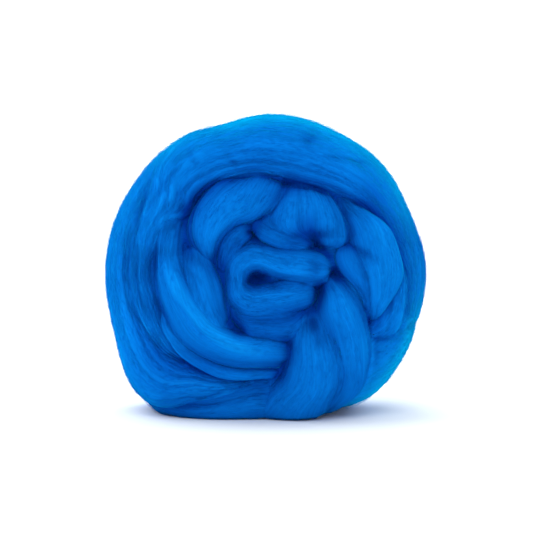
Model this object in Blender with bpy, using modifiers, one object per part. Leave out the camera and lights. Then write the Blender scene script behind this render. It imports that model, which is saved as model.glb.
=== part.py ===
"""A ball of combed wool roving, wound from one thick soft strand and stood on its rim.

Metres, +Z up. The wound face looks along -Y and the ball rests on a flat spot at Z 0.
The object is one closed solid: every wrap and fold of the strand is lofted as its own fat band
lying on the ball, and the bands and the packed middle are then merged into a single surface.
"""

from collections import namedtuple
from math import pi, radians

import bpy
import numpy as np

NAME = "wound_roving"
MM = 0.001

# Driving dimensions of the ball, in millimetres.
HALF_DEPTH = 45.0           # middle of the ball to the crown of its face, under the strand
RIM_HEIGHT = 72.5           # middle of the rim above the surface it rests on
FACE_RISE = 6.0             # the middle of the wound face sits this much higher than the rim's
RIM_INSET = 9.0             # the bands stand this far out from the body they lie on, at the rim
BEHIND_RIM = radians(160)   # a table point this share of a radius past the rim lies this far round
SIDE_CURVE = 0.80           # below 1, the face is flatter and the shoulders rounder than a sphere's
DEPTH_CURVE = 0.80
CORE_SINK = 4.0             # the packed middle lies this far under the body at the rim and back
FACE_SINK = 7.0             # and this far under it at the middle of the face

# Mesh settings.
AROUND = 24                 # points round one band
STEP = 3.2                  # millimetres along a band
MERGE_STEPS = [("merge_bands", 1.8, 4), ("close_slits", 2.0, 2)]   # name, grain, softening
KEEP_FACES = 0.165          # share of the merged surface's triangles that is kept
FLOOR_BLOCK = 60.0          # the block that trims the flat spot

# The rim, seen from the front: its radius from the rim's middle at each clock angle, in degrees
# anticlockwise from +X. The lower left bulges, and the bottom is pressed past the flat spot.
Rim = namedtuple("Rim", "clock radius")
RIM = [
    Rim(0, 80.0), Rim(30, 76.6), Rim(60, 76.4), Rim(90, 77.0), Rim(106, 75.0), Rim(122, 78.0),
    Rim(150, 79.0), Rim(180, 80.0), Rim(203, 82.5), Rim(224, 89.0), Rim(242, 87.0),
    Rim(268, 80.0), Rim(296, 79.5), Rim(320, 81.4), Rim(340, 79.8),
]

# Each band is a row for each section. A section runs from an inner to an outer edge, both given
# across and up from the middle of the face, in millimetres, and a point past the rim lies round
# on the back. height is the middle of the strand over the body, and thick is half its thickness.
Section = namedtuple("Section", "in_x in_up out_x out_up height thick")

CROWN = [
    Section(-50, 16, -66, 44, -12, 5), Section(-45, 26, -60, 62, -4, 8),
    Section(-30, 38, -48, 78, 1, 10), Section(-8, 46, -10, 90, 1, 11),
    Section(12, 41, 14, 90, 1, 11), Section(34, 36, 52, 76, 0, 11),
    Section(58, 25, 78, 44, -1, 10), Section(69, 5, 92, 12, -2, 9),
    Section(67, -22, 88, -24, -1, 9), Section(56, -38, 78, -54, -1, 9),
    Section(40, -50, 56, -74, -2, 10), Section(18, -56, 26, -86, -5, 10),
]
OUTER_LEFT = [
    Section(10, -55, 6, -60, -8, 5), Section(-12, -58.5, -15, -63, -2, 5),
    Section(-28, -55, -34, -68, 0, 7), Section(-45, -44, -64, -68, 0, 9),
    Section(-58, -27, -92, -36, 0, 10), Section(-65, -4, -94, -4, 0, 10),
    Section(-63, 18, -88, 26, 0, 10), Section(-52, 40, -74, 54, 0, 9),
    Section(-36, 55, -50, 76, -1, 8), Section(-22, 66, -26, 86, -9, 6),
]
NARROW_LEFT = [
    Section(12, -54, 10, -58, -8, 4), Section(-10, -52, -12, -58.5, -1, 5),
    Section(-33, -43, -38, -50, 1, 5.5), Section(-50, -27, -58, -32, 1, 5.5),
    Section(-58, -2, -66, -4, 1, 5.5), Section(-56, 20, -63, 24, 0, 5),
    Section(-44, 38, -50, 46, -7, 5),
]
BRIGHT_LEFT = [
    Section(-43, 27, -53, 24, -8, 4), Section(-44, 12, -57.5, 12, 1, 7),
    Section(-41, -2, -58.5, -3, 3, 8), Section(-34, -14, -53, -20, 3, 8.5),
    Section(-21, -28, -42, -38, 3, 9), Section(-7, -35, -20, -48.5, 2, 9),
    Section(7, -37, 2, -52.5, -2, 8), Section(19, -38, 14, -54, -10, 6),
]
INNER_LEFT = [
    Section(-37, 22, -44, 18, -8, 3), Section(-37, 12, -45, 10, -2, 5),
    Section(-27.5, 2, -42, -2, 0, 7), Section(-22, -9, -37, -14, 0, 7.5),
    Section(-19, -22, -29, -28, 0, 7), Section(-11, -34, -18, -39, -6, 5),
]
UPPER_ARCH = [
    Section(10, 46, -38, 42, -8, 6), Section(9, 37, -39, 30, 0, 9),
    Section(3, 26, -40, 21, 2, 10), Section(-10, 20.5, -38, 14, 2, 9.5),
    Section(-20, 14, -34, 8.5, 0, 8), Section(-24, 5, -29, 3.5, -6, 5),
    Section(-23.5, -3, -27, -3, -14, 3),
]
PINCHED_FOLD_LEFT = [
    Section(24, 44, 6, 46, -8, 6), Section(23, 36, 6.5, 37, 1, 8),
    Section(21, 25, 1, 27, 2, 9), Section(21, 18, -3, 20, 0, 8),
    Section(21.5, 14, 0, 13, -3, 7), Section(22, 9, 12, 6, -10, 4),
]
PINCHED_FOLD_RIGHT = [
    Section(16, 44, 33, 41, -8, 6), Section(17, 36, 34, 34, 1, 8),
    Section(19, 27, 39, 26, 2, 9), Section(20, 19, 41.5, 17, 2, 9),
    Section(20.5, 13, 40, 10, 0, 8), Section(22, 9, 34, 5, -9, 4),
]
RIGHT_FOLD = [
    Section(37, 35, 54, 32, -10, 5), Section(40, 27, 61, 22, -2, 8),
    Section(44, 17, 66.5, 12, 1, 9), Section(48, 6, 67, 1, 2, 9),
    Section(50, -8, 65, -12, 2, 8), Section(51, -21, 60, -24, -1, 6),
    Section(52, -31, 54.5, -32, -9, 3),
]
SMALL_RIGHT_FOLD = [
    Section(38, 14, 50, 14, -9, 4), Section(34.5, 5, 51.5, 3, 0, 7),
    Section(38, -5, 52, -8, 1, 7), Section(45, -15, 52, -17, -2, 5),
    Section(50, -26, 54, -27, -9, 3),
]
RIGHT_SLIVER = [
    Section(66, 10, 71, 10, -7, 3), Section(64, -10, 70.5, -12, -1, 5),
    Section(58, -24, 67, -29, 0, 6), Section(51, -34, 60, -41, -3, 6),
    Section(42, -42, 50, -50, -10, 5),
]
RIGHT_DROP = [
    Section(33, -2, 23, -14, -8, 5), Section(42, -10, 22, -20, 2, 8),
    Section(50, -26, 28, -30, 4, 9.5), Section(52.5, -40, 34, -40, 4, 9.5),
    Section(50, -54, 36, -52, 2, 9), Section(43, -66, 34, -64, -1, 8),
    Section(31, -78, 24, -78, -5, 7),
]
FRONT_DROP = [
    Section(24, -19, 18, -20, -9, 4), Section(29, -28, 13, -29, 3, 8),
    Section(34, -36, 11, -38, 7, 10), Section(38, -49, 10.5, -50, 7, 11),
    Section(35.5, -63, 4, -63, 5, 11), Section(26, -74, -8, -72, 1, 10),
    Section(15, -86, -18, -80, -4, 8),
]
UNDER_SWEEP = [
    Section(12, -57, 6, -70, -8, 5), Section(-2, -59, -6, -74, -1, 7),
    Section(-22, -62, -24, -82, 0, 8), Section(-42, -66, -44, -92, -1, 8),
    Section(-60, -62, -70, -78, -8, 6),
]
CENTRE_CURL = [
    Section(19, -8, 25, -13, -6, 4), Section(13, -8, 19, -21, 3, 7),
    Section(4, -8.5, 7, -27, 5, 9), Section(-4, -10, -8, -27.5, 5, 9),
    Section(-9, -9, -19, -20, 4, 8.5), Section(-9.5, -6, -22.5, -5, 4, 8),
    Section(-8, -4, -19, 9, 4, 8), Section(-2, -4, -7, 13.5, 5, 8),
    Section(6, -5.5, 7, 10.5, 7, 8), Section(18, -8, 19, 9, 8, 8),
    Section(27, -7.5, 29, 5.5, 6, 7), Section(31, -3, 31.5, 0, -1, 4),
]
LOWER_BEHIND = [
    Section(-17, -12, -21, -13, -10, 4), Section(-12, -20, -18, -26, -6, 6),
    Section(-4, -24, -9, -34, -4, 7), Section(4, -24, 4, -37, -4, 7),
    Section(12, -20, 14, -33, -6, 6), Section(16, -16, 21, -24, -11, 4),
]
LEFT_BEHIND = [
    Section(-20, -4, -26, -3, -10, 4), Section(-17, 6, -25, 8, -5, 6),
    Section(-12, 11, -19, 17, -5, 6), Section(-8, 14, -10, 21, -11, 4),
]
FACE_BANDS = [
    CROWN, OUTER_LEFT, NARROW_LEFT, BRIGHT_LEFT, INNER_LEFT, UPPER_ARCH, PINCHED_FOLD_LEFT,
    PINCHED_FOLD_RIGHT, RIGHT_FOLD, SMALL_RIGHT_FOLD, RIGHT_SLIVER, RIGHT_DROP, FRONT_DROP,
    UNDER_SWEEP, CENTRE_CURL, LOWER_BEHIND, LEFT_BEHIND,
]

# Wraps that go all round, out of sight of the face: round is the middle of the wrap in degrees
# from the middle of the face (90 is the rim, 180 the middle of the back) at its start and end.
Wrap = namedtuple("Wrap", "start_clock turns start_round end_round half_width waver height thick")
BACK_WRAPS = [
    Wrap(35, 1.08, 107, 109, 20, 3, 1, 10),
    Wrap(200, 1.08, 136, 133, 14, 3, 0, 10),
    Wrap(80, 2.05, 150, 176, 13, 2, 0, 10),
]


def smooth_through(values, at):
    """A smooth curve through evenly numbered rows, read at the places asked for."""
    rows = np.asarray(values, float)
    slopes = np.gradient(rows, axis=0)
    row = np.clip(at.astype(int), 0, len(rows) - 2)
    t = (at - row)[:, None]
    first, second = 2 * t**3 - 3 * t**2 + 1, t**3 - 2 * t**2 + t
    third, fourth = -2 * t**3 + 3 * t**2, t**3 - t**2
    return (first * rows[row] + second * slopes[row]
            + third * rows[row + 1] + fourth * slopes[row + 1])


def rim_radius(clock):
    """The rim's radius at clock angles in radians, smooth all the way round."""
    table = np.array(RIM)
    clocks = np.radians(np.concatenate([table[:, 0] - 360, table[:, 0], table[:, 0] + 360]))
    radii = np.tile(table[:, 1], 3)
    slopes = np.gradient(radii, clocks)
    clock = np.mod(clock, 2 * pi)
    row = np.searchsorted(clocks, clock, side="right") - 1
    span = clocks[row + 1] - clocks[row]
    t = (clock - clocks[row]) / span
    return ((2 * t**3 - 3 * t**2 + 1) * radii[row] + (t**3 - 2 * t**2 + t) * span * slopes[row]
            + (3 * t**2 - 2 * t**3) * radii[row + 1] + (t**3 - t**2) * span * slopes[row + 1])


def direction(clock, away):
    """The unit direction at a clock angle, away radians round from the middle of the face."""
    clock, away = np.broadcast_arrays(clock, away)
    return np.stack([np.sin(away) * np.cos(clock), -np.cos(away), np.sin(away) * np.sin(clock)], -1)


def face_direction(x, up):
    """The direction of a point given across and up from the middle of the face."""
    clock = np.arctan2(up, x)
    share = np.hypot(x, up) / rim_radius(clock)
    on_face = np.arcsin(np.minimum(share, 1) ** (1 / SIDE_CURVE))
    return direction(clock, np.where(share < 1, on_face, pi / 2 + BEHIND_RIM * (share - 1)))


def on_body(way):
    """The point and the outward normal of the body that the bands lie on, for unit directions."""
    clock = np.arctan2(way[..., 2], way[..., 0])
    side = np.hypot(way[..., 0], way[..., 2])
    front = -way[..., 1]
    radius = rim_radius(clock) * side**SIDE_CURVE - RIM_INSET * side**4
    point = np.stack([
        radius * np.cos(clock),
        -HALF_DEPTH * np.sign(front) * np.abs(front) ** DEPTH_CURVE,
        RIM_HEIGHT + radius * np.sin(clock) + FACE_RISE * front,
    ], -1)
    slope = side ** (2 - SIDE_CURVE) / rim_radius(clock)
    normal = np.stack([
        slope * np.cos(clock),
        -np.sign(front) * np.abs(front) ** (2 - DEPTH_CURVE) / HALF_DEPTH,
        slope * np.sin(clock),
    ], -1)
    return point, normal / np.linalg.norm(normal, axis=-1, keepdims=True)


def band_surface(inner, outer, height, thick):
    """A grid of points, rings along the band by points round it: an oval bent over the body."""
    round_it = np.arange(AROUND) * 2 * pi / AROUND
    across = (1 + np.cos(round_it))[None, :, None] / 2
    way = inner[:, None] * (1 - across) + outer[:, None] * across
    way /= np.linalg.norm(way, axis=-1, keepdims=True)
    point, normal = on_body(way)
    lift = height[:, None] + thick[:, None] * np.sin(round_it)[None]
    return point + normal * lift[..., None]


def face_band(rows):
    """The grid of one band of the face, from its table of sections."""
    table = np.array(rows, float)
    inner = face_direction(table[:, 0], table[:, 1])
    outer = face_direction(table[:, 2], table[:, 3])
    middle = on_body(inner + outer)[0]
    length = np.linalg.norm(np.diff(middle, axis=0), axis=1).sum()
    at = np.linspace(0, len(rows) - 1, max(8, int(length / STEP)))
    found = smooth_through(np.hstack([inner, outer, table[:, 4:]]), at)
    return band_surface(found[:, :3], found[:, 3:6], found[:, 6], found[:, 7])


def back_band(wrap):
    """The grid of a wrap round the rim or the back: a spiral whose ends dip under its turns."""
    share = np.linspace(0, 1, int(wrap.turns * 110))
    clock = radians(wrap.start_clock) + 2 * pi * wrap.turns * share
    middle = wrap.start_round + (wrap.end_round - wrap.start_round) * share
    middle = middle + wrap.waver * np.sin(3 * clock + wrap.start_clock)
    half = wrap.half_width * (1 - 0.35 * share * (wrap.turns > 2))
    ends = np.clip(np.minimum(share, 1 - share) * wrap.turns / 0.07, 0, 1)
    height = wrap.height - 12 * (1 - ends)
    inner = direction(clock, np.radians(middle - half))
    outer = direction(clock, np.radians(middle + half))
    return band_surface(inner, outer, height, wrap.thick * (0.5 + 0.5 * ends))


def core_grid():
    """The packed middle, as rings of points from the middle of the face to that of the back."""
    away = np.linspace(radians(4), radians(176), 36)
    clock = np.arange(48) * 2 * pi / 48
    point, normal = on_body(direction(clock[None], away[:, None]))
    sink = CORE_SINK + (FACE_SINK - CORE_SINK) * np.maximum(np.cos(away), 0)
    return point - normal * sink[:, None, None]


def closed_faces(rings, around, start):
    """Quads between neighbouring rings, and a cap on each end, for a grid of points."""
    here = start + np.arange(rings - 1)[:, None] * around + np.arange(around)[None]
    after = start + np.arange(rings - 1)[:, None] * around + (np.arange(around) + 1)[None] % around
    quads = np.stack([here, here + around, after + around, after], -1).reshape(-1, 4)
    first = np.arange(around) + start
    return quads.tolist() + [first.tolist(), (first + (rings - 1) * around)[::-1].tolist()]


def wound_mesh():
    """All the bands and the middle as separate closed shells of one mesh."""
    grids = [core_grid()] + [face_band(rows) for rows in FACE_BANDS]
    grids += [back_band(wrap) for wrap in BACK_WRAPS]
    points, faces = [], []
    for grid in grids:
        faces += closed_faces(len(grid), grid.shape[1], sum(len(p) for p in points))
        points.append(grid.reshape(-1, 3) * MM)
    mesh = bpy.data.meshes.new(NAME)
    mesh.from_pydata(np.concatenate(points), [], faces)
    mesh.update()
    return mesh


def face_shells_outwards(obj):
    """Turns each shell's faces to point out of it."""
    bpy.context.view_layer.objects.active = obj
    obj.select_set(True)
    bpy.ops.object.mode_set(mode="EDIT")
    bpy.ops.mesh.select_all(action="SELECT")
    bpy.ops.mesh.normals_make_consistent(inside=False)
    bpy.ops.object.mode_set(mode="OBJECT")


def wool_material():
    """Matt blue wool."""
    material = bpy.data.materials.new("blue_wool")
    material.use_nodes = True
    shader = material.node_tree.nodes["Principled BSDF"]
    shader.inputs["Base Color"].default_value = (0.001, 0.16, 0.70, 1)
    shader.inputs["Roughness"].default_value = 0.75
    shader.inputs["Metallic"].default_value = 0.0
    return material


def floor_cutter(collection):
    """A block under Z 0 that leaves the flat spot the ball stands on."""
    bpy.ops.mesh.primitive_cube_add(size=1, location=(0, 0, -FLOOR_BLOCK * MM / 2))
    cutter = bpy.context.object
    cutter.name = "floor_cutter"
    cutter.dimensions = (4 * FLOOR_BLOCK * MM, 4 * FLOOR_BLOCK * MM, FLOOR_BLOCK * MM)
    cutter.hide_render = True
    cutter.display_type = "WIRE"
    for holder in cutter.users_collection:
        holder.objects.unlink(cutter)
    collection.objects.link(cutter)
    return cutter


def centre_over_origin(obj):
    """Moves the ball so that its box is centred on the Z axis."""
    bpy.context.view_layer.update()
    evaluated = obj.evaluated_get(bpy.context.evaluated_depsgraph_get())
    corners = np.array([obj.matrix_world @ vertex.co for vertex in evaluated.data.vertices])
    middle = (corners.max(0) + corners.min(0)) / 2
    obj.location.x -= middle[0]
    obj.location.y -= middle[1]


def main():
    for obj in list(bpy.data.objects):
        bpy.data.objects.remove(obj)
    collection = bpy.data.collections.new("wool_roving")
    cutters = bpy.data.collections.new("cutters")
    for made in (collection, cutters):
        bpy.context.scene.collection.children.link(made)

    ball = bpy.data.objects.new(NAME, wound_mesh())
    collection.objects.link(ball)
    face_shells_outwards(ball)
    ball.data.materials.append(wool_material())

    for name, grain, rounds in MERGE_STEPS:
        merge = ball.modifiers.new(name, "REMESH")
        merge.mode = "VOXEL"
        merge.voxel_size = grain * MM
        soften = ball.modifiers.new(name + "_soften", "SMOOTH")
        soften.factor = 0.5
        soften.iterations = rounds
    thin = ball.modifiers.new("fewer_faces", "DECIMATE")
    thin.ratio = KEEP_FACES
    flat = ball.modifiers.new("flat_spot", "BOOLEAN")
    flat.operation = "DIFFERENCE"
    flat.solver = "EXACT"
    flat.object = floor_cutter(cutters)
    centre_over_origin(ball)


main()
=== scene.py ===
from math import pi, radians

import bpy
import numpy as np
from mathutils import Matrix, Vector


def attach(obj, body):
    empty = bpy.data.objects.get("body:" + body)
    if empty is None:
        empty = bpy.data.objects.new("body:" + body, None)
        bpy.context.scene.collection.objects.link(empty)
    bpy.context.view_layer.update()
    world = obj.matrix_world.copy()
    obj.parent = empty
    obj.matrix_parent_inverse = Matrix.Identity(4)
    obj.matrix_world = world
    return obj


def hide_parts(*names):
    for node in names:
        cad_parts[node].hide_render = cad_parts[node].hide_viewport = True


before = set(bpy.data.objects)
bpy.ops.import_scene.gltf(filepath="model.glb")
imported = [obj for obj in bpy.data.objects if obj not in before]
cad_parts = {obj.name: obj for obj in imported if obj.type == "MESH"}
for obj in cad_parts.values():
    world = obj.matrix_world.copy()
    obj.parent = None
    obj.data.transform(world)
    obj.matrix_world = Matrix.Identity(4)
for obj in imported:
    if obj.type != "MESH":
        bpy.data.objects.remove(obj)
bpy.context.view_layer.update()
mm = 0.001

# The ball that the strand is wound into, in millimetres. The wound face looks along -Y.
ball = {
    "halfDepth": 45,  # middle of the ball to the crown of its face, under the strand
    "rimHeight": 72.5,  # middle of the rim above the floor
    "faceRise": 7,  # the middle of the face sits this much higher than the rim's
    "rimInset": 9,  # how far the strands stand out from the body at the rim
    "behindRim": radians(160),  # how far round a point one radius past the rim lies
    "sideCurve": 0.8,  # under 1, a flatter face with rounder shoulders than a sphere's
    "depthCurve": 0.8,
    "shift": (0.18, 2.88),  # across and back, as in the solid
    "roundRim": 79,  # the rim's radius as distances along the body are worked out
    "turnRadius": 75,  # millimetres along the body for each radian
    "rim": [  # clock angle from +X in degrees, radius
        (0, 79.5), (20, 75.8), (40, 75.4), (60, 73.6), (90, 73.2), (106, 71), (122, 76.5),
        (150, 77.5), (180, 79.4), (203, 82), (224, 91.8), (242, 90), (268, 82),
        (296, 84.6), (310, 82.4), (324, 79.6), (340, 80.4),
    ],
}


# From a first value to a second, as share goes from 0 to 1.
def mix(first, second, share):
    return first * (1 - share) + second * share


# From 0 to 1 with a level start and end: 3 * t squared less 2 * t cubed.
def eased(t):
    return t * t * (3 - 2 * t)


# Vectors made one long.
def unit(vectors):
    return vectors / np.maximum(np.linalg.norm(vectors, axis=-1, keepdims=True), 1e-9)


# Distance along a path of points, from its start to each of them.
def distances(points):
    return np.concatenate([[0], np.cumsum(np.linalg.norm(np.diff(points, axis=0), axis=1))])


# Repeatable noise from 0 to 1: random values on a lattice, eased between them.
def softNoise(x, y, seed, size=128):
    table = np.random.default_rng(seed).random((size, size))
    x, y = np.broadcast_arrays(x, y)
    left, low = np.floor(x).astype(int), np.floor(y).astype(int)
    p, q = eased(x - left), eased(y - low)
    left, low, right, high = left % size, low % size, (left + 1) % size, (low + 1) % size
    return mix(mix(table[left, low], table[right, low], p), mix(table[left, high], table[right, high], p), q)


# Hermite curve between two values with a slope at each, t going from 0 to 1 over a span.
def hermite(t, first, firstSlope, second, secondSlope, span=1):
    return ((2 * t**3 - 3 * t**2 + 1) * first + (t**3 - 2 * t**2 + t) * span * firstSlope
            + (3 * t**2 - 2 * t**3) * second + (t**3 - t**2) * span * secondSlope)


# A smooth curve through evenly numbered rows, with the slope of the two neighbours at each.
def smoothThrough(rows, at):
    rows = np.asarray(rows, float)
    slopes = np.gradient(rows, axis=0)
    row = np.clip(at.astype(int), 0, len(rows) - 2)
    return hermite((at - row)[:, None], rows[row], slopes[row], rows[row + 1], slopes[row + 1])


# The rim's radius at clock angles in radians, smooth all the way round.
def rimRadius(clock):
    table = np.array(ball["rim"])
    clocks = np.radians(np.concatenate([table[:, 0] + turn for turn in (-360, 0, 360)]))
    radii = np.tile(table[:, 1], 3)
    slopes = np.gradient(radii, clocks)
    clock = np.mod(clock, 2 * pi)
    after = np.searchsorted(clocks, clock, side="right")
    row = after - 1
    span = clocks[after] - clocks[row]
    return hermite((clock - clocks[row]) / span, radii[row], slopes[row], radii[after], slopes[after], span)


# Unit direction at a clock angle, away radians round from the middle of the face.
def wayAt(clock, away):
    clock, away = np.broadcast_arrays(clock, away)
    return np.stack([np.sin(away) * np.cos(clock), -np.cos(away), np.sin(away) * np.sin(clock)], -1)


# Direction of a point given across and up from the middle of the face. Past the rim it lies behind.
def faceWay(x, up):
    clock = np.arctan2(up, x)
    share = np.hypot(x, up) / rimRadius(clock)
    onFace = np.arcsin(np.minimum(share, 1) ** (1 / ball["sideCurve"]))
    return wayAt(clock, np.where(share < 1, onFace, pi / 2 + ball["behindRim"] * (share - 1)))


# Point and outward normal of the body for unit directions: a superellipsoid on the rim's outline.
def onBody(way):
    a, b, deep = ball["sideCurve"], ball["depthCurve"], ball["halfDepth"]
    clock = np.arctan2(way[..., 2], way[..., 0])
    side, front = np.hypot(way[..., 0], way[..., 2]), -way[..., 1]
    rim = rimRadius(clock)
    radius = rim * side**a - ball["rimInset"] * side**4
    point = np.stack([
        radius * np.cos(clock) + ball["shift"][0],
        -deep * np.sign(front) * np.abs(front) ** b + ball["shift"][1],
        ball["rimHeight"] + radius * np.sin(clock) + ball["faceRise"] * front,
    ], -1)
    slope = side ** (2 - a) / rim
    back = -np.sign(front) * np.abs(front) ** (2 - b) / deep
    return point, unit(np.stack([slope * np.cos(clock), back, slope * np.sin(clock)], -1))


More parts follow.
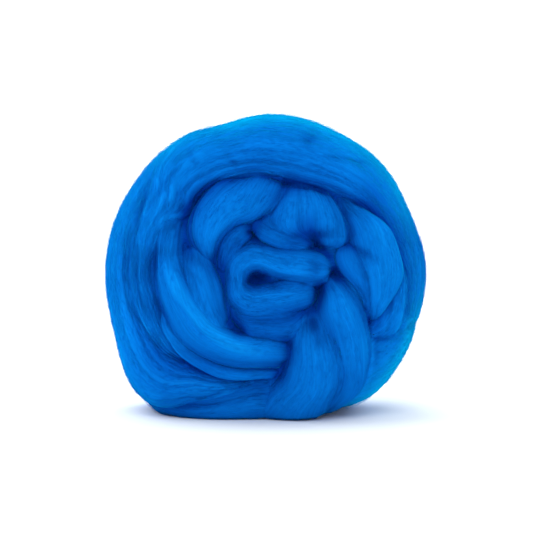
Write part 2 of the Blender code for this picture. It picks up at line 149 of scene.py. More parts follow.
# Each length of the strand, a row for each section: inner edge across and up, outer edge across
# and up, middle height over the body, half thickness, all in millimetres from the face's middle.
strandRows = {
    "crownWrap": [
        (-34, -50, -38, -53, -8, 4), (-41, -45, -47, -48, -2, 4.5), (-47.5, -37, -56, -41, 0, 5.5),
        (-53, -25.5, -63, -29, 1, 6), (-57, -13, -67.5, -15, 1.3, 6.5), (-58.5, 1, -69.5, 2, 1.3, 6.5),
        (-50.5, 16, -68, 20, 1, 7), (-39.5, 24.5, -63, 39, 0, 8.5), (-35.5, 34.5, -56, 56, 0.5, 9),
        (-26, 41.3, -44, 73, 0.5, 10), (-12, 46.1, -24, 85, 0.5, 11), (3, 44.9, 3, 88, 1, 11),
        (15, 42.3, 22, 86, 1, 11), (28, 39.2, 44, 76, 1, 11), (42, 34.5, 62, 62, 0.5, 11),
        (54, 29.5, 75, 46, 0, 10), (62, 23.5, 84, 30, -0.5, 9.5), (67, 14.5, 90, 10, -1, 9),
        (71.8, 2, 91, -13, -1.5, 9), (73.8, -13, 88, -30, -2, 8.5), (70, -29, 80, -45, -5, 8),
        (60, -37, 66, -57, -10, 7),
    ],
    "outerLeftWrap": [
        (0, -57, -2, -63, -9, 4), (-12, -58, -13, -66, -3, 5), (-24, -56, -25, -69, -0.5, 6.5),
        (-34.5, -52, -38, -71, 0, 8), (-44, -45.7, -60, -73, 0, 9), (-54.5, -36.5, -76, -61, 0, 9.5),
        (-62.5, -24, -87, -39, 0, 10), (-66.3, -11.5, -92, -17, 0, 10), (-69, 3, -93, 5, 0, 10),
        (-66, 20, -88, 29, 0, 10), (-59, 35, -78, 52, 0, 9.5), (-49, 47, -62, 70, -0.5, 9),
        (-36, 57, -42, 81, -3, 8), (-24, 63, -26, 85, -8, 6),
    ],
    "narrowLeftRidge": [
        (-52, -21, -55, -23, -5, 3), (-48.5, -30, -52, -32, 0, 4), (-44, -36, -48, -39, 1, 4.5),
        (-38, -42, -43, -45.5, 1.5, 5), (-29, -47, -34, -51.5, 1.5, 5), (-20.5, -50, -23, -56.5, 1, 5),
        (-9, -52, -10, -58, 0, 5), (2.5, -53, 2, -57.5, -2, 5), (10, -53, 10, -57, -9, 4),
    ],
    "brightLeftBand": [
        (-42.5, 22, -54, 23, -1.5, 7), (-42.7, 14, -56.5, 14.5, 1, 8), (-43, 6, -57, 6, 1, 8),
        (-38.5, -5, -57, -9, 2.5, 8.5), (-33, -15, -54.5, -20, 3, 9), (-27, -23, -50, -30.5, 3, 9),
        (-19, -30, -40, -41.5, 3, 9), (-6, -34, -23, -50, 2.5, 8.5), (5, -36, -5, -52, 1.5, 8),
        (16, -39, 13, -54, -8, 6),
    ],
    "innerLeftBand": [
        (-30, 11, -42, 11, -9, 4), (-27, 3, -42.5, 2, -1, 6), (-23, -6, -41, -7, 1.5, 8),
        (-20.5, -15, -38, -18, 2.5, 8.5), (-19.5, -23, -33, -26, 2, 8), (-18.5, -29, -28, -32, 0.5, 6.5),
        (-14, -35, -20, -37, -6, 5),
    ],
    "upperArch": [
        (13, 46, -29, 43, -8, 7), (12, 38, -36.5, 33, -1.5, 9), (6.5, 28.5, -41, 24, 1.8, 10),
        (-5.5, 22, -40.5, 15, 2.5, 10), (-17, 17, -37, 8.5, 2, 9.5), (-22, 11, -33, 4.5, 1, 8),
        (-24.5, 5, -29.5, 1, -1, 6), (-26, -0.5, -27, -1.5, -5, 3),
    ],
    "pinchedFold": [
        (5, 46, 33, 43, -14, 5), (3, 38.5, 35, 36, -3, 8), (-1.5, 30, 38.5, 28, 0.8, 10),
        (-5, 23.5, 41.5, 20, 2, 10.5), (-5, 19, 42.5, 13, 2, 10), (8, 14, 40, 9.5, 0.5, 9),
        (18, 12, 32, 7.5, -5, 6.5), (22, 10.5, 27, 8, -13, 3),
    ],
    "foldLip": [
        (-8, 18, -4, 26, -7, 5), (-3.5, 12.5, 0, 20.5, 0.5, 7), (3, 9, 7, 17, 2, 7.5),
        (10, 7.5, 13, 15, 1, 7), (17, 7.5, 19, 13, -2, 6), (22.5, 8, 23.5, 11.5, -9, 4),
    ],
    "rightFold": [
        (34, 36, 48, 34, -9, 5), (35, 29, 57, 28, -3, 7.5), (38, 21, 66, 20, 0.5, 9),
        (41, 10, 69.5, 8, 2, 9.5), (43.5, -1, 71, -3, 2, 9), (47, -12, 67.5, -13.5, 1.5, 8),
        (49.3, -19, 62, -19.5, 1.8, 7), (52, -25, 58.5, -25.2, 1, 5.5), (54, -30, 56, -30.2, -8, 3),
    ],
    "smallRightFold": [
        (39, 12, 44, 12, -9, 4), (34.5, 7, 45.5, 7.5, -1, 7), (33.5, 2, 49, 1, 0, 8),
        (38.5, -5.5, 52, -8, 0.5, 8), (44, -12.5, 52, -16, 0, 7), (48.5, -21, 53, -23, -3, 5),
        (51, -28, 53, -28, -11, 3),
    ],
    "rightSliver": [
        (66, 15, 71, 15, -6, 3), (67, 1, 74.5, -1, -0.3, 4.5), (63, -13, 76, -15, -0.3, 5),
        (57, -22, 75, -26, -0.3, 5.5), (52, -29, 72, -34, -0.8, 5.5), (46, -35, 63, -42, -7, 5),
    ],
    "lowerRightWrap": [
        (28, -39, 27, -73, -7, 6), (42, -35, 40, -79, 0, 9), (55, -32, 57, -75, 1.5, 10),
        (67, -25, 72, -67, 1.5, 10), (78, -21, 86, -59, 1, 10), (92, -21, 102, -57, 0, 9),
        (104, -25, 114, -53, -7, 6),
    ],
    "rightDrop": [
        (26, -11, 34, -3, -8, 5), (25.5, -17, 41, -10, 1, 8), (23.5, -24, 47, -18, 3.3, 9.5),
        (25.5, -32, 51.5, -29, 4, 10), (27.5, -40, 53, -39, 4, 10), (28.5, -49, 53, -50, 3.5, 9.5),
        (28, -59, 50, -60, 2.5, 9), (24, -68, 43, -69, 0, 8.5), (20, -77, 34, -78, -4, 7),
    ],
    "frontDrop": [
        (17, -20, 26, -19, -8, 5), (13, -27.5, 30, -26, 1.5, 7.5), (10, -36, 34, -35.5, 4, 10),
        (9, -45, 37.6, -45, 4.5, 11), (6, -55, 38, -55, 4.5, 11.5), (-2, -64, 36, -62.5, 3.5, 11.5),
        (-9, -72, 36, -70, 3, 11), (-17, -78, 30, -76, 1, 10), (-24, -85, 8, -87, -7, 8),
    ],
    "underSweep": [
        (12, -57, 12, -81, -7, 5), (2, -57, 2, -83, -1, 8), (-12, -59, -12, -84, 1, 9),
        (-26, -62.5, -29, -84, 1.5, 9.5), (-39, -64, -41, -87, 1, 9.5), (-51, -64, -52, -89, 0.5, 8.5),
        (-62, -63, -62, -86, -1, 8), (-74, -59, -74, -79, -6, 6),
    ],
    "centreCurl": [
        (25, -14, 26, -15, -8, 4), (20, -8, 23.5, -20, 0, 7), (8, -6.5, 10, -24, 1.5, 9),
        (-2, -9.3, -5, -25.5, 2, 9.5), (-8.5, -9, -17, -21, 1.5, 9), (-9, -7, -20.5, -7, 1, 8.5),
        (-8, -5, -18.5, 5, 1.5, 8.5), (-3, -4.3, -8, 11, 2.5, 8.5), (6, -7.5, 5, 9.5, 3, 8.5),
        (15, -9.2, 16, 8.6, 3.5, 8.5), (21.5, -10.7, 23, 7.5, 3.5, 8), (26, -9.7, 27, 5.6, 3, 7.5),
        (28.9, -7.1, 29.5, 2.6, 2, 6), (30.7, -4, 30.9, -0.5, -0.5, 4), (31.3, -2.7, 31.3, -1.7, -2.5, 3),
    ],
    "lowerBehind": [
        (-16, -15, -19, -15, -8, 4), (-14, -21, -17, -29, -1.5, 5.5), (-8, -22, -10, -36.5, 0, 7),
        (2, -22, 3, -38.5, 0.5, 7.5), (12, -21, 14, -37, 0.5, 7), (17, -20, 20, -28, -5, 4),
    ],
    "leftBehind": [
        (-19, -5, -24, -4, -7, 4), (-16, 2, -24, 5, -1, 6), (-12, 9, -21, 14.5, -0.3, 7),
        (-7.5, 12.5, -14, 21, -1, 6.5), (-6.8, 14, -8.5, 22, -6, 4),
    ],
}
# Wraps round the back: start clock, turns, degrees round from the middle of the face at the start
# and the end (90 is the rim), half width and waver in degrees, height, half thickness.
backRows = {
    "rimWrap": (35, 1.08, 107, 109, 20, 3, 1, 10),
    "shoulderWrap": (200, 1.08, 136, 133, 14, 3, 0, 10),
    "backSpiral": (60, 2.2, 146, 178, 13, 2, 0, 10),
}
backLook = {
    "rings": 160,  # to each turn
    "ends": 0.07,  # turns over which a wrap goes down at each end
    "sink": 12,  # millimetres by which it does
    "narrowing": 0.35,  # share by which a wrap of over two turns gets narrower
    "coarse": 1.5,  # how much further apart points are across it
}
strandLook = {
    "stepAlong": 1.7,  # millimetres between rings
    "stepAcross": 0.62,  # millimetres between points over the top
    "topLength": 1.35,  # length over the top in widths
    "tuck": 0.03,  # share of the width by which each edge is drawn in
    "slope": 2,  # 1 for an oval section, more for gentler edges
    # where these are highest, from 0 at the inner edge to 1 at the outer one
    "crests": {"brightLeftBand": 0.26, "centreCurl": 0.45, "upperArch": 0.42},
    "sink": 0.8,  # millimetres by which it all lies lower
    "puff": 4,  # millimetres by which edges lie lower and the middle is thicker,
    "puffAt": 8,  # for this half thickness
    "overWidth": 1.25,  # length over the top in fibreRun, in widths
    "drift": 1.2,  # how far locks wander aside, in their widths
    "lockHeight": 1.4,  # multiplies the heights of the locks
    "lively": {"crownWrap": 1.4, "outerLeftWrap": 1.4},  # and again on these
    # ridges along the strand: width, length, height, how much painted shade lies between them
    "locks": [(8, 130, 1.2, 0.5), (3.4, 75, 0.6, 0.5), (1.5, 45, 0.26, 0.35)],
}


# Angles round a section from its underside, close together over the top.
def anglesRound(width, coarse):
    past, under = 0.5, 6  # radians of top past each edge, points underneath on each side
    top = max(16, int(strandLook["topLength"] * width / strandLook["stepAcross"] / coarse))
    return np.concatenate([
        np.linspace(-pi / 2, -past, under, endpoint=False),
        np.linspace(-past, pi + past, top, endpoint=False),
        np.linspace(pi + past, 1.5 * pi, under, endpoint=False),
    ])


# One strand on a grid of rings by angles: ways across it, its lift over the body, the ridges of its
# locks and the painted shade between them, painted light on them. The lift is the height plus the
# thickness times 4 * share * (1 - share) over the top, share going across from 0 to 1, and times the
# angle's sine underneath.
def layStrand(inner, outer, height, thick, seed, crest=0.5, lively=1, coarse=1):
    look = strandLook
    inner, outer = mix(inner, outer, look["tuck"]), mix(outer, inner, look["tuck"])
    span = np.linalg.norm(onBody(inner)[0] - onBody(outer)[0], axis=1)
    width = span.max()
    angle = anglesRound(width, coarse)
    across = (1 + np.cos(angle))[None, :, None] / 2
    way = unit(mix(inner[:, None], outer[:, None], across))
    rise = np.sin(angle)
    puff = look["puff"] * np.clip(thick / look["puffAt"], 0, 1.2)
    share = across[..., 0] ** (np.log(0.5) / np.log(crest))
    bulge = np.where(rise > 0, np.maximum(4 * share * (1 - share), 0) ** (look["slope"] / 2), rise)
    lift = (height - puff - look["sink"])[:, None] + (thick + puff)[:, None] * bulge

    run = distances(onBody(unit(inner + outer))[0])
    over = angle / pi * width * look["overWidth"]
    ridge, between = np.zeros(lift.shape), np.zeros(lift.shape)
    for number, (wide, long, high, dark) in enumerate(look["locks"]):  # noise as wide and long as them
        drift = look["drift"] * softNoise(run[:, None] / (long * 0.8), 0.5, seed + 31 * number)
        wave = softNoise(run[:, None] / long + 7.3 * number, over / wide + drift, seed + number)
        # painted shade between the locks, painted light on them
        between = between + dark * (0.5 - wave)
        if number == 0:  # the widest locks are parted by rounded grooves
            wave = np.sqrt((2 * wave - 1) ** 2 + 0.03)
        ridge = ridge + high * wave * look["lockHeight"]
    narrow = np.clip(span / width, 0.15, 1)[:, None] ** 0.7  # lower where the strand is narrow
    edge = np.clip(1.5 * rise, 0.15, 1)  # and at its edges
    ridge, between = ridge * narrow * edge * lively, between * edge
    return {"way": way, "lift": lift, "rise": rise, "ridge": ridge, "between": between, "run": run,
            "over": over}


# Wool has no sharp edges, so the strands' tops make one relief over the body, in millimetres. It is
# kept on two flat maps, of the face and the back, with true distances from the middle of each.
reliefLook = {
    "cell": 0.7,
    "reach": 150,  # half width of each map
    "nothing": -25,  # lift where no strand lies
    "counts": (0.01, 0.5),  # how thickly points lie at a strand's edge, and where it is whole
    "speckle": 0.8,  # how far those points are blurred
    "gapBlur": 3,  # a gap between strands is filled from this far round it,
    "gapSink": 1.5,  # and lies this much lower
    "soften": 2.2,  # how far edges and creases are rounded
    "merge": 4,  # how far where two strands join
    "around": 8,  # a crease is what lies lower than the mean this far around
    "depth": 0.58,  # share of the height above or below that mean which is kept
    "deepen": (0.15, 0.5),  # share by which creases are made deeper, past a depth
    "hollows": [(3.5, 0.5), (9, 0.5)],  # hollow: depth below the mean this far around, times a share
    "rim": (102, 18, 9, 1.4),  # where wraps run together: degrees round, spread, rounding, how fully
    "backFrom": (95, 20),  # degrees round where the back's map takes over, over how many
    "dive": 1.2,  # how steeply a covered strand goes down
    "underside": 2,  # least half thickness below it
    "dents": [  # across, up, radius and depth of small hollows
        (22.8, -1.6, 4.8, 2), (24.5, 9.5, 3.4, 4.5), (22.5, 13.5, 5, 5), (20.5, 20, 9, 6),
        (24.5, 14, 4.5, 2.5), (14, 17.5, 5, 3), (29, 15, 5, 3), (22, -28.5, 4, 4), (24, -35, 4, 2),
        (34, -4.7, 2.6, 5.5), (-7, 15.5, 2.8, 7), (-14, -32, 3, 2), (20, 61.5, 3.2, 1.4), (-17, 53, 2, 1.2),
        (48, 5.5, 3, 1.5), (51.5, -28.5, 2, 2.5), (-5, -6.3, 3, 3.5),
    ],
    "shades": [  # across, up, radius of soft spots of painted shade, and what they add to how hollow it is; below 0, painted light
        (22.8, -1.6, 4.8, 1.2), (20.5, 20, 9, 0.5), (24.5, 14, 4.5, 0.6), (14, 17.5, 5, 0.5),
        (20, 61.5, 3.2, 0.3), (54, 43, 12, 0.5), (70, 17, 12, 0.7), (-60, -17, 14, -0.7),
        (-44, -33, 10, -0.5), (-48, -60, 16, 1.2), (-2, -61, 12, -1.2), (-18, -62, 8, -0.5),
        (50, -38, 9, -1.5), (44, -18, 7, -1.2), (35, -44, 6, -1.4), (-42, -47, 8, -0.7), (-66, -45, 9, 0.6),
        (12, -10.5, 6, -0.7), (-19, -25, 6, -1), (-4, 29, 6, -0.6), (40, 37, 9, -0.6), (36, 61, 8, -1.2),
        (-36, 61, 6, -0.8), (-32.5, 27, 4.5, 1), (18.5, 12, 3, 0.9), (21, 11.5, 2.5, 0.6),
        (26.5, 15, 3.5, -0.9), (30.5, 7.5, 3, -0.9), (34, 7, 3, -0.9), (17, 7.5, 2.5, -0.6),
        (41.5, 8, 3, 0.9), (36.5, 32, 2.5, 0.6), (17, 35.5, 6, 0.8), (0.5, 27.5, 3, -0.6),
        (0.5, 19.5, 3.5, -0.8), (-42, 15.5, 3, 0.7), (-46, 26, 3, 0.5), (-50, 11, 4, -0.6),
        (-57, 24, 4, 0.4), (-42, 24, 2.5, -0.5), (-29, 6, 4, -0.6), (61, -3, 7, -0.6), (36, -60, 10, -1.2),
        (-50, -39, 8, -0.6), (8, -47, 7, -0.7), (-16, 46, 12, -0.9), (-34, 37, 7, -0.6), (12, 37.5, 5, 1),
        (47, 25, 7, 0.7), (37, -67, 7, -0.9), (14, -50, 4, -0.7), (-59, -33, 7, -0.8), (-27, 34.5, 5, 0.6),
        (-19, 38.5, 5, 0.5), (50, -39, 6, -0.6), (-11, 15, 4, -0.5), (43, -11, 5, -0.6), (36, 14, 3, -0.5),
        (-20, -17, 6, -0.6), (-44, 4, 6, -0.5), (-68, 23, 12, -0.4),
    ],
    "grooves": [  # width and depth of soft lines, raised below 0, then their points
        (1.8, 2.2, -41, 17, -40.5, 28, -36, 34.5, -28, 41), (1.4, 1.5, -30, 40, -18, 44.6, -5, 45.6),
        (1.8, 3.2, -6, 45.3, 5, 42.5, 15, 40.3, 25, 39, 35, 34.5),
        (1.6, 1.8, 3, 43.5, 8, 42, 16, 40.8, 24, 39.5, 30, 37),
        (3.8, 2, -41.5, 20, -41, 29, -36, 35.5, -30, 40),
        (4.5, 1.2, -39, 18, -38.5, 26, -33.5, 33, -26, 38.5), (4, 1.8, 8, 38.5, 16, 37.5, 25, 35.5, 32, 33),
        (3.5, 1.6, 39, 31, 46, 29, 54, 26, 59, 22),
        (1.6, 2.2, 36, 34.5, 45, 33, 54, 29.5, 60, 25.5, 65, 19, 68.6, 11, 71.6, 3, 73.3, -5),
        (1.5, 1.5, 37, 32, 41, 24, 43, 17, 41.5, 11),
        (1.6, 1.5, -9, 21, -17, 18.5, -22, 13, -24, 6, -26, -0.5),
        (1.3, 0.9, -26, 0, -22.5, -7, -20.5, -15, -19.5, -23, -17, -29),
        (1.8, 4, -19, -26, -15, -30.5, -10, -33.5), (1.8, 5, -9, -6.5, -6, -6.5, -2, -6.5, 0.5, -6.5),
        (0.9, 0.8, 2, -6.2, 8, -6.7, 15, -7.7, 21, -9),
        (1.6, 0.3, -54, 18, -58, 11, -58.5, 0, -57.5, -10, -54, -23, -50, -32),
        (2.2, 0.3, -44, 20, -43.5, 11, -41.5, 1, -38.5, -5),
        (2, -1.4, -28, 43.5, -20, 46.5, -10, 48.3, 3, 47.7, 12, 46),
        (2, 0.7, 9, 19, 14, 17, 19, 15, 24, 11.5), (1.3, 1.6, 25.5, 8, 28.5, 6.3, 30.8, 4, 31.8, 1.5),
        (1, 1.2, 10.5, 38, 6.5, 31, 1.5, 25.5, -5, 21.5),
        (1.6, 1.8, 10, -34, 11, -41, 9.5, -48, 6, -55, 2, -59),
        (1.5, -1, -14, -20.2, -6, -22.7, 3, -23.2, 12, -22), (1.3, -0.8, 38, -6, 44, -13.5, 49, -21),
        (0.8, 1.2, 30, -29, 33.4, -37, 36, -45, 36.7, -53, 35.2, -60, 31, -66),
        (2, 5, 27, -8, 25.5, -15, 24, -23), (1.2, 1.5, 22, -19, 19, -25),
        (1.2, 0.2, 33, 2, 37, -6, 43, -13, 48, -19, 51.5, -26.5),
        (2.2, 1.6, 60, 25.5, 65, 19, 68.6, 11, 71.6, 3), (5, 2, 44, 45, 56, 37, 66, 23, 71.5, 9, 74.5, -5),
        (1.4, 2, 65.5, 19, 69, 12, 72, 4, 73.3, -3), (1.2, 1, 32, 4, 38, 10, 44, 9, 50, 4),
        (1, 1.3, 71, -4, 67, -10, 63, -18, 58.5, -25, 55, -30), (0.7, 0.8, 64.5, -16, 63, -26, 61.5, -35),
        (1.3, 1, 74, -13, 71.5, -26, 66, -34, 58, -37.5, 52, -37),
        (0.9, 0.9, -64, 13, -64.5, 5, -65, -9, -62.5, -20, -58, -29),
        (1.5, 1.2, -50, -41, -42, -48, -33, -53.5, -22, -57.5, -10, -59, 0, -57),
        (1.3, 0.7, -47, -37, -40, -42.5, -30, -47.5, -20, -50.3, -8, -52.2, 4, -53.3),
        (0.8, 0.6, -60, -64, -45, -64.7, -30, -65, -18, -60.5), (0.8, 1, 26, 55, 37, 53.3, 50, 49.5),
        (2, 0.8, 14, 61.7, 27, 61.3), (1, 0.8, -36, 51, -37, 58.5),
        (0.9, 0.6, 14, 44, 28, 42.5, 38, 39.5, 46, 36), (1.2, 0.7, -51, 24, -45, 36, -35, 46.5),
        (1.2, 0.7, -58, 26, -51, 39, -41, 50.5),
        (1.7, -3, -47.5, 5, -45, -4, -41.5, -10.5, -36, -18.5, -30, -26.5, -24, -32.5, -17, -36.7, -8,
         -39.5, 4, -41), (0.6, -0.6, 10.5, -35, 15, -29, 20, -24),
        (0.9, -0.6, -26, -5, -24.5, -12, -22.5, -20), (1, -0.8, 18, 42.8, 28, 41.3, 38, 37.5),
        (0.8, -0.5, 1, 16, 9, 12.5),
        (2.3, -2.4, -65.5, 35, -69, 22, -70, 10, -69.7, -5, -66.5, -18, -61, -28, -54, -36.5),
        (2, -0.9, -54, 18, -57, 10, -58, 1, -57.6, -9, -55, -19), (2, -1, -44, 32, -46, 26, -52, 20),
        (2.8, -2, 50, 4, 52.3, -3, 53.3, -10, 54, -17, 54.5, -24), (1.6, 0.8, 46, 7, 49.5, 5, 52, 2),
    ],
    "joins": [  # width of lines where neighbours run together, then their points
        (6, -54, 29, -50, 22, -46, 15), (3.5, -53, 22.5, -47, 23, -41, 23.5),
        (3.5, 5, -6.4, 12, -7.2, 22, -9), (2.4, 10, 39, 6, 32, 2, 27, -3, 23), (3, 40, 7, 45, 5, 49, 2),
        (2.6, -38, -5, -33, -15, -27, -23, -20, -29), (3, -41, 6, -35, 3, -29, 1),
        (4, -18, 0, -14.5, 8, -8, 12.5), (4.5, -17, -19, -8, -23.5, 2, -24, 12, -22.5, 18, -20.5),
        (2.5, -19.5, 1, -20, -9, -17.5, -19), (4.5, -60, 39, -66, 25, -69, 10, -68, -7, -62, -23, -52, -37),
        (2.5, 40, -8, 45, -14, 49, -20), (3, 49, 9, 51, -1, 51.5, -13, 52, -20),
        (2.5, 52, -35, 52.5, -43, 50, -53, 44, -61), (3.5, 6, -56, 2, -65, -3, -71),
        (4.5, -4, 21, 3, 19.5, 10, 17.5, 16, 16), (3, 11, 9.6, 17, 9.4, 23, 9),
        (6, -39, 27, -45, 22.5, -54, 17),
        (3, -46, -38, -40, -42.5, -30, -47.5, -20, -50.3, -8, -52.2, 3, -53.3),
        (4.5, 72, -1, 73, -11, 72, -21, 67, -31, 60, -37), (2.5, -64, -63, -45, -64.7, -28, -64.5),
        (2.6, 29, -29, 33, -37, 36, -45, 36.7, -55, 34, -63, 31, -67),
    ],
}
arcAway = np.linspace(0, pi, 721)


# Arc length along the body's section from its pole to each of arcAway.
def arcLengths():
    side, front = np.sin(arcAway), np.cos(arcAway)
    radius = ball["roundRim"] * side ** ball["sideCurve"] - ball["rimInset"] * side**4
    depth = ball["halfDepth"] * np.sign(front) * np.abs(front) ** ball["depthCurve"]
    return np.concatenate([[0], np.cumsum(np.hypot(np.diff(radius), np.diff(depth)))])


arcLength = arcLengths()


# Place of a way on the map of the face (side 1) or of the back (side -1), in cells.
def onMap(way, side):
    away = np.arccos(np.clip(-side * way[..., 1], -1, 1))
    flat = way[..., [0, 2]] / np.maximum(np.hypot(way[..., 0], way[..., 2]), 1e-9)[..., None]
    return (flat * np.interp(away, arcAway, arcLength)[..., None] + reliefLook["reach"]) / reliefLook["cell"]


# A map blurred by a Gaussian of so many millimetres, through its Fourier transform.
def blurred(image, spread):
    row, column = np.fft.fftfreq(image.shape[0])[:, None], np.fft.rfftfreq(image.shape[1])
    fade = np.exp(-2 * (pi * spread / reliefLook["cell"]) ** 2 * (row**2 + column**2))
    return np.fft.irfft2(np.fft.rfft2(image) * fade, image.shape)


# Values of a grid or map at places given in cells, read between the four nearest.
def readMap(image, place):
    place = np.clip(place, 0, np.array(image.shape) - 1.001)
    cell = place.astype(int)
    p, q = np.moveaxis(place - cell, -1, 0)
    i, j = np.moveaxis(cell, -1, 0)
    return mix(mix(image[i, j], image[i + 1, j], p), mix(image[i, j + 1], image[i + 1, j + 1], p), q)


# A grid with a point added halfway between each two, along both of its directions.
def finer(grid):
    for axis in (0, 1):
        grid = np.moveaxis(grid, axis, 0)
        wide = np.empty((2 * len(grid) - 1,) + grid.shape[1:])
        wide[::2] = grid
        wide[1::2] = (grid[1:] + grid[:-1]) / 2
        grid = np.moveaxis(wide, 0, axis)
    return grid


# A strand's top as a map: each point's lift shared among the four nearest cells, then averaged. Also
# how thickly the points lie there.
def strandMap(strand, side, size):
    top = strand["rise"] > 0.02
    place = finer(finer(onMap(strand["way"][:, top], side))).reshape(-1, 2)
    lift = finer(finer(strand["lift"][:, top])).ravel()
    kept = (place > 1).all(1) & (place < size - 2).all(1)
    place, lift = place[kept], lift[kept]
    cell = place.astype(int)
    part = place - cell
    total, weight = np.zeros(size * size), np.zeros(size * size)
    for i, j in ((0, 0), (0, 1), (1, 0), (1, 1)):
        share = np.abs(1 - i - part[:, 0]) * np.abs(1 - j - part[:, 1])
        spot = (cell[:, 0] + i) * size + cell[:, 1] + j
        total += np.bincount(spot, share * lift, size * size)
        weight += np.bincount(spot, share, size * size)
    total, weight = (blurred(one.reshape(size, size), reliefLook["speckle"]) for one in (total, weight))
    return total / np.maximum(weight, 1e-3), weight


# A soft spot on the face's map: e to the power of minus the square of distance over radius.
def softSpot(across, up, radius, line):
    place = onMap(faceWay(np.array(across), np.array(up)), 1) * reliefLook["cell"] - reliefLook["reach"]
    return np.exp(-((np.hypot(line[:, None] - place[0], line - place[1]) / radius) ** 2))


# A soft line on the face's map, 1 high along its middle: points on a smooth curve, faint at its
# ends, added up in the cells they fall in and blurred.
def softLine(width, points, size):
    table = np.reshape(points, (-1, 2)).astype(float)
    share = np.linspace(0, 1, 60 * len(table))  # close enough for every cell to get some
    place = onMap(smoothThrough(faceWay(table[:, 0], table[:, 1]), share * (len(table) - 1)), 1)
    faded = np.clip(5 * np.minimum(share, 1 - share), 0, 1)  # over a fifth of it at each end
    weight = np.linalg.norm(np.gradient(place, axis=0), axis=1) * faded
    cell = np.clip(np.round(place).astype(int), 0, size - 1)
    spots = np.bincount(cell[:, 0] * size + cell[:, 1], weight, size * size).reshape(size, size)
    return blurred(spots, width) * np.sqrt(2 * pi) * width / reliefLook["cell"]


# The relief of one side: the highest strand at each place, softened, with its creases deepened and
# its dents pressed in. Also how hollow it is (below 0 on ridges), with the spots of painted shade and
# light added, which the colour turns into painted shade and highlight, and how far each strand's own
# top lies under the highest.
def makeRelief(strands, side):
    look = reliefLook
    size = int(2 * look["reach"] / look["cell"]) + 1
    line = np.arange(size) * look["cell"] - look["reach"]
    atEdge, whole = look["counts"]
    highest = np.full((size, size), look["nothing"])
    tops = {}
    for name, strand in strands.items():
        lift, weight = strandMap(strand, side, size)
        tops[name] = np.where(weight > atEdge, lift, look["nothing"])
        highest = np.where(weight > whole, np.maximum(highest, lift), highest)
    covered = (highest > look["nothing"]).astype(float)
    near = np.maximum(blurred(covered, look["gapBlur"]), 1e-3)
    gaps = blurred(highest * covered, look["gapBlur"]) / near - look["gapSink"]
    highest = np.where(covered > 0, highest, gaps)
    around = blurred(highest, look["around"])
    soft = around + look["depth"] * (blurred(highest, look["soften"]) - around)
    share, past = look["deepen"]
    soft = soft - share * np.maximum(around - soft - past, 0)
    paintedShading = np.zeros_like(soft)
    if side > 0:
        for across, up, radius, depth in look["dents"]:
            soft = soft - depth * softSpot(across, up, radius, line)
        # spots of painted shade, and of painted light below 0
        for across, up, radius, dark in look["shades"]:
            paintedShading = paintedShading + dark * softSpot(across, up, radius, line)
        merged = blurred(highest, look["merge"])
        for width, *points in look["joins"]:
            soft = soft + (merged - soft) * np.clip(softLine(width, points, size), 0, 1)
        for width, depth, *points in look["grooves"]:
            soft = soft - depth * softLine(width, points, size)
    away = np.hypot(line[:, None], line)
    away = np.degrees(np.interp(away if side > 0 else arcLength[-1] - away, arcLength, arcAway))
    middle, spread, width, fully = look["rim"]
    weight = np.exp(-((away - middle) / spread) ** 2)
    soft = soft + (blurred(highest, width) - soft) * np.minimum(fully * weight, 1)
    hollow = sum(share * (blurred(soft, wide) - soft) for wide, share in look["hollows"]) + paintedShading
    return {"lift": soft, "hollow": hollow,
            "under": {name: np.maximum(highest - top, 0) for name, top in tops.items()}}


# Share of the back's map at a way, from 0 on the face to 1 on the back.
def backShare(way):
    start, over = reliefLook["backFrom"]
    return eased(np.clip((np.degrees(np.arccos(np.clip(-way[..., 1], -1, 1))) - start) / over, 0, 1))


# Values at ways, from the face's map and the back's.
def readBoth(reliefs, kind, way, name=None):
    face, back = (relief[kind][name] if name else relief[kind] for relief in reliefs)
    return mix(readMap(face, onMap(way, 1)), readMap(back, onMap(way, -1)), backShare(way))


# The strand's points: its top set to the relief, less what covers it, its underside below that, and
# its locks raised along the outward normals. Also how hollow each point is, with the painted shade
# between its locks, for the painted shade and highlight of its colour.
def settleStrand(name, strand, reliefs):
    way, rise, ridge = strand["way"], strand["rise"], strand["ridge"]
    top = readBoth(reliefs, "lift", way) - reliefLook["dive"] * readBoth(reliefs, "under", way, name)
    lift = np.where(rise > 0, top, np.minimum(strand["lift"], top + reliefLook["underside"] * rise))
    point, normal = onBody(way)
    grid = point + normal * lift[..., None]
    return grid + gridNormals(grid) * ridge[..., None], readBoth(reliefs, "hollow", way) + strand["between"]


# Outward unit normals of a closed grid, from the cross product of its two directions.
def gridNormals(grid):
    along = np.gradient(grid, axis=0)
    around = np.roll(grid, -1, 1) - np.roll(grid, 1, 1)
    normal = unit(np.cross(along, around))
    outwards = ((grid - grid.mean(1, keepdims=True)) * normal).sum(-1).sum()
    return normal * np.sign(outwards)


# Corners of the faces of a closed tube: its points ring by ring, then a pole for each end. With one
# more column than sides, for UV maps, the last column isn't joined to the first.
def tubeFaces(rings, sides, columns):
    ring, step = np.meshgrid(np.arange(rings - 1), np.arange(sides), indexing="ij")
    here, after = ring * columns + step, ring * columns + (step + 1) % columns
    edge, end = np.arange(sides), (rings - 1) * columns
    return [np.stack([here, after, after + columns, here + columns], -1).reshape(-1, 4),
            np.stack([np.full(sides, end + columns), (edge + 1) % columns, edge], -1),
            np.stack([np.full(sides, end + columns + 1), end + edge, end + (edge + 1) % columns], -1)]


